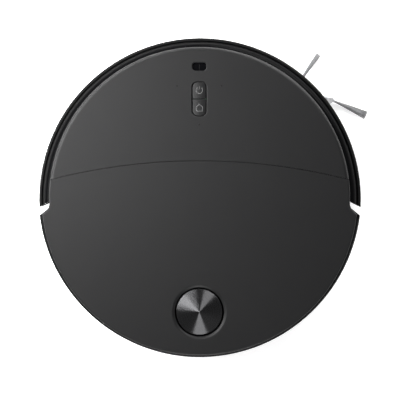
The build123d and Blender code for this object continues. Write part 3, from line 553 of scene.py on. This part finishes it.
def side_brush():
    """Both tufts and their sleeves. The tufts stand for the CAD bristles."""
    for side, root, tip, spread, count in TUFTS:
        along = (tip - root).normalized()
        tuft = bristle_tuft(f"tuft_{side}", root * MM, tip * MM, spread * MM, count)
        dress(tuft, MATERIALS["bristle"], "sweeper")
        if side == "rear":
            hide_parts("side_brush_bristles")
        sleeve = boot(f"tuft_boot_{side}", root * MM, Vector((along.x, along.y, 0)))
        dress(sleeve, MATERIALS["white_plastic"], "sweeper")


def side_brush_screw():
    """The screw in the middle of the hub, seen from below."""
    screw = lathe("side_brush_screw", SCREW, SIDE_BRUSH_AXIS, 32)
    dress(screw, MATERIALS["steel"], "sweeper")


# ---------------------------------------------------------------- buttons, window and microphones
ICON_LINE = 0.24 * MM
ICON_SINK = 0.04 * MM  # how far an icon reaches into its button
ICON_HEIGHT = 0.08 * MM
BUTTON_CROWN_R = 46 * MM
POWER_Y = -116.7
POWER_R = 3.5
POWER_GAP = 35  # degrees on each side of the stem
POWER_STEM = (-4.1, -1.1)
HOME_Y = -97.7
HOME = [(-3.0, 3.7), (3.0, 3.7), (3.6, -0.8), (0.0, -3.9), (-3.6, -0.8)]
DIVIDER_INSET = 1.2 * MM
DIVIDER_WIDTH = 0.5 * MM
DIVIDER_SINK = 0.02 * MM
DIVIDER_HEIGHT = 0.12 * MM
# x, y and the upper face of the disc of painted shade in each microphone hole, in millimetres
MICROPHONES = [(-24.3, -121.6, 78.93), (24.3, -121.6, 78.93), (0.0, -79.1, 79.4)]
# (radius, height above its upper face) in millimetres
SHADE_DISC = [(0, -0.5), (0.69, -0.5), (0.69, -0.05), (0.6, 0), (0, 0)]


def icon(name, body, node, strokes):
    """Thin raised lines on a button, bent to its crown."""
    z = box_of(node)[1].z
    verts, faces = [], []
    for points, closed in strokes:
        line = finer(points, closed)
        ribbon(verts, faces, line, ICON_LINE, z - ICON_SINK, ICON_HEIGHT, closed)
    for vert in verts:
        vert.z -= vert.x**2 / (2 * BUTTON_CROWN_R)
    recipe = Recipe(name + "_ink")
    speck = recipe.noise(2500, 2)
    recipe.set(color=recipe.mix(speck, (0.15, 0.15, 0.15), (0.21, 0.21, 0.21)), roughness=0.5)
    dress(add_object(name, verts, faces, smooth=False), recipe.material, body)


def button_icons():
    """A generic power sign and a generic house, with their tops towards the front."""
    power = Vector((0, POWER_Y)) * MM
    ring = arc_points(power, POWER_R * MM, 270 + POWER_GAP, 630 - POWER_GAP, 36)
    stem = [power + Vector((0, y)) * MM for y in POWER_STEM]
    icon("icon_power", "start", "start_button", [(ring, False), (stem, False)])
    home = Vector((0, HOME_Y)) * MM
    house = [home + Vector(point) * MM for point in HOME]
    icon("icon_home", "dock", "dock_button", [(house, True)])


def sensor_divider():
    """The bar that divides the smoked window ahead of the buttons."""
    low, high = box_of("overhead_sensor_window")
    ends = [Vector((0, low.y + DIVIDER_INSET)), Vector((0, high.y - DIVIDER_INSET))]
    verts, faces = [], []
    ribbon(verts, faces, ends, DIVIDER_WIDTH, high.z - DIVIDER_SINK, DIVIDER_HEIGHT)
    bar = add_object("sensor_divider", verts, faces, False)
    dress(bar, MATERIALS["body_black"], "body")


def microphone_shade_discs():
    """A black disc with no reflection just below the mouth of each microphone hole: painted shade that
    darkens the hole.
    """
    recipe = Recipe("microphone_hole_shade")
    shade_speck = recipe.noise(6000, 2)
    dark, light = (0.0006, 0.0006, 0.0006), (0.0014, 0.0014, 0.0014)
    # painted shade: nearly black and without reflection, so that each hole reads dark
    recipe.set(color=recipe.mix(shade_speck, dark, light), roughness=0.9, specular=0.0)
    for k, (x, y, top) in enumerate(MICROPHONES):
        rim = [(radius, top + z) for radius, z in SHADE_DISC]
        disc = lathe(f"microphone_shade_discs_{k + 1}", rim, Vector((x, y, 0)) * MM, 24)
        dress(disc, recipe.material, "body")


# ---------------------------------------------------------------- lidar lenses and lid magnets
SCANNER_Z = 61.5 * MM
# name, distance to the side of the turret's axis, radius
LENSES = [("receiver", -5.0, 3.8), ("sender", 5.0, 2.8)]
LID_PADS = [(-130.0, 40.0), (130.0, 40.0), (-100.0, 120.0), (100.0, 120.0)]
# (radius, height) in millimetres
MAGNET = [(0, 72.72), (3.7, 72.72), (4.0, 72.85), (4.0, 73.4), (0, 73.4)]


def scanner_lenses():
    """The two lenses, side by side in the turning head, which face +Y at rest."""
    for name, offset, radius in LENSES:
        rim = [(0, 14.2), (radius, 14.2), (radius, 14.8), (radius * 0.7, 15.5), (0, 15.9)]
        lens = lathe(f"lidar_lens_{name}", rim, Vector((0, 0, 0)), 48)
        lens.data.transform(Matrix.Rotation(math.radians(-90), 4, "X"))
        lens.data.transform(Matrix.Translation(Vector((CAP.x + offset * MM, CAP.y, SCANNER_Z))))
        dress(lens, MATERIALS["smoked_lens"], "scanner")


def lid_magnets():
    """Plated discs on the pads under the rear cover."""
    for k, (x, y) in enumerate(LID_PADS):
        disc = lathe(f"lid_magnet_{k + 1}", MAGNET, Vector((x, y, 0)) * MM, 40)
        dress(disc, MATERIALS["steel"], "lid")


# ---------------------------------------------------------------- mop
PAD_R = 157.5 * MM
PAD_CORNER = 8 * MM
# (scale about the middle, height in millimetres) of the bound edge below its top
PAD_EDGE = [(1.0, 2.0), (0.992, 0.9), (0.978, 0.5), (0.968, 1.3)]
PILE_SCALE = 0.955  # the pile starts here, as a part of the outline
PILE_RINGS = 26
PILE_Z = 0.05 * MM
RIB_HEIGHT = 0.45 * MM
RIB_PITCH = 7 * MM
LOOP_HEIGHT = 0.5 * MM
LOOP_NOISE = 420  # scale of the loops, per metre
PAD_MIDDLE_Z = 0.4 * MM


def pad_outline(low, high):
    """The D in plan: an arc behind, straight sides, and rounded corners in front."""
    half = (high.x - low.x) / 2
    inner = half - PAD_CORNER
    side_y = math.sqrt(PAD_R**2 - half**2)
    corner_y = low.y + PAD_CORNER
    start = math.degrees(math.atan2(side_y, half))
    outline = arc_points(Vector((0, 0)), PAD_R, start, 180 - start, 72)
    outline += between(Vector((-half, side_y)), Vector((-half, corner_y)), 6)
    outline += arc_points(Vector((-inner, corner_y)), PAD_CORNER, 180, 270, 6)
    outline += between(Vector((-inner, low.y)), Vector((inner, low.y)), 40)
    outline += arc_points(Vector((inner, corner_y)), PAD_CORNER, 270, 360, 6)
    outline += between(Vector((half, corner_y)), Vector((half, side_y)), 6)
    return outline


def pile_z(spot):
    """The height of the pile's face over a spot, with its ribs and loops."""
    rib = RIB_HEIGHT * (0.5 + 0.5 * math.sin(spot.x * 2 * math.pi / RIB_PITCH))
    loop = LOOP_HEIGHT * max(0.0, noise.noise(Vector((spot.x, spot.y, 0)) * LOOP_NOISE))
    return PILE_Z + rib + loop


def mop_pad():
    """The D-shaped pad: a bound edge round a pile that stands in ribs."""
    low, high = box_of("mop_pad")
    points = pad_outline(low, high)
    heart = Vector((0, (low.y + high.y) / 2))
    rings = [(1.0, high.z)] + [(scale, z * MM) for scale, z in PAD_EDGE]
    rings += [(PILE_SCALE * (1 - k / PILE_RINGS), None) for k in range(PILE_RINGS)]
    verts, faces = [], []
    for scale, z in rings:
        for point in points:
            spot = heart + (point - heart) * scale
            verts.append(Vector((spot.x, spot.y, pile_z(spot) if z is None else z)))
    count = len(points)
    for k in range(len(rings) - 1):
        for s in range(count):
            t = (s + 1) % count
            faces.append((k * count + s, (k + 1) * count + s, (k + 1) * count + t, k * count + t))
    last = (len(rings) - 1) * count
    verts.append(Vector((heart.x, heart.y, PAD_MIDDLE_Z)))
    for s in range(count):
        faces.append((last + s, len(verts) - 1, last + (s + 1) % count))
    faces.append(tuple(range(count)))
    pad = add_object("mop_cloth_pad", verts, faces)
    dress(pad, MATERIALS["mop_cloth"], "mop")
    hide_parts("mop_pad")


# ---------------------------------------------------------------- stage
WALLS = 0.75
CEILING = 0.01
WALL_TOP, CEILING_FROM = 0.5, 0.8  # where the fade between them starts and ends
FLOOR_HALF = 6.0
FLOOR_GLOW = 0.4
# name, azimuth and elevation in degrees, distance and size in metres, watts
LIGHTS = [
    ("key", 156, 64, 1.5, (0.5, 0.9), 20),
    ("side", 60, 36, 1.8, (0.8, 1.4), 22),
    ("back", 270, 38, 1.8, (0.8, 0.8), 17),
    ("window", 60, 5, 2.6, (2.6, 0.4), 50),
    ("edge", 144, 32, 0.65, (1.0, 0.12), 12),
]


def studio_walls():
    """The world: pale walls under a dark ceiling."""
    world = bpy.data.worlds.new("studio")
    world.use_nodes = True
    tree = world.node_tree
    back = tree.nodes["Background"]
    place = tree.nodes.new("ShaderNodeTexCoord")
    split = tree.nodes.new("ShaderNodeSeparateXYZ")
    fade = tree.nodes.new("ShaderNodeMapRange")
    tree.links.new(place.outputs["Generated"], split.inputs["Vector"])
    tree.links.new(split.outputs["Z"], fade.inputs["Value"])
    numbers = {"From Min": WALL_TOP, "From Max": CEILING_FROM, "To Min": WALLS, "To Max": CEILING}
    for key, number in numbers.items():
        fade.inputs[key].default_value = number
    tree.links.new(fade.outputs["Result"], back.inputs["Strength"])
    back.inputs["Color"].default_value = (1, 1, 1, 1)
    return world


def floor_sheet():
    """A wide pale floor with a slight glow."""
    half = FLOOR_HALF
    corners = [(-half, -half, 0), (half, -half, 0), (half, half, 0), (-half, half, 0)]
    floor = add_object("floor", [Vector(c) for c in corners], [(0, 1, 2, 3)], False)
    recipe = Recipe("floor")
    speck = recipe.noise(3, 2)
    recipe.set(color=recipe.mix(speck, (0.93, 0.93, 0.93), (0.97, 0.97, 0.97)), roughness=0.9)
    recipe.shader.inputs["Emission Color"].default_value = (1, 1, 1, 1)
    recipe.shader.inputs["Emission Strength"].default_value = FLOOR_GLOW
    floor.data.materials.append(recipe.material)

def lamps():
    """The area lights, all aimed at the origin."""
    for name, azimuth, elevation, distance, size, energy in LIGHTS:
        light = bpy.data.lights.new(name, "AREA")
        light.shape = "RECTANGLE"
        light.size, light.size_y = size
        light.energy = energy
        lamp = bpy.data.objects.new(name, light)
        flat = math.radians(azimuth)
        up = math.radians(elevation)
        # Azimuths are read on the picture, anticlockwise from its right edge, which is -X.
        away = Vector((-math.cos(flat) * math.cos(up), -math.sin(flat) * math.cos(up), math.sin(up)))
        lamp.location = away * distance
        lamp.rotation_euler = away.to_track_quat("Z", "Y").to_euler()
        bpy.context.scene.collection.objects.link(lamp)


def studio():
    """World, floor and lights."""
    scene = bpy.context.scene
    scene.view_settings.view_transform = "Standard"
    scene.world = studio_walls()
    floor_sheet()
    lamps()


CAMERA_DISTANCE = 3.0
CAMERA_TILT = math.radians(1.6)
CAMERA_AIM = Vector((0.33, 2.87, 40)) * MM
SENSOR = 36
VIEW_WIDTH = 0.4418  # metres across the picture at the aim


def camera():
    """Looks down on the top, tilted slightly, with the front at the top of the picture."""
    back = Vector((-math.sin(CAMERA_TILT), 0, math.cos(CAMERA_TILT)))
    up = Vector((0, -1, 0))
    right = up.cross(back)
    data = bpy.data.cameras.new("camera")
    data.sensor_width = SENSOR
    data.lens = SENSOR * CAMERA_DISTANCE / VIEW_WIDTH
    data.clip_end = 20
    view = bpy.data.objects.new("camera", data)
    turn = Matrix((right, up, back)).transposed().to_4x4()
    view.matrix_world = Matrix.Translation(CAMERA_AIM + back * CAMERA_DISTANCE) @ turn
    bpy.context.scene.collection.objects.link(view)
    bpy.context.scene.camera = view


camera()
studio()
dress_frame()
side_brush()
button_icons()
sensor_divider()
microphone_shade_discs()
scanner_lenses()
lid_magnets()
side_brush_screw()
mop_pad()
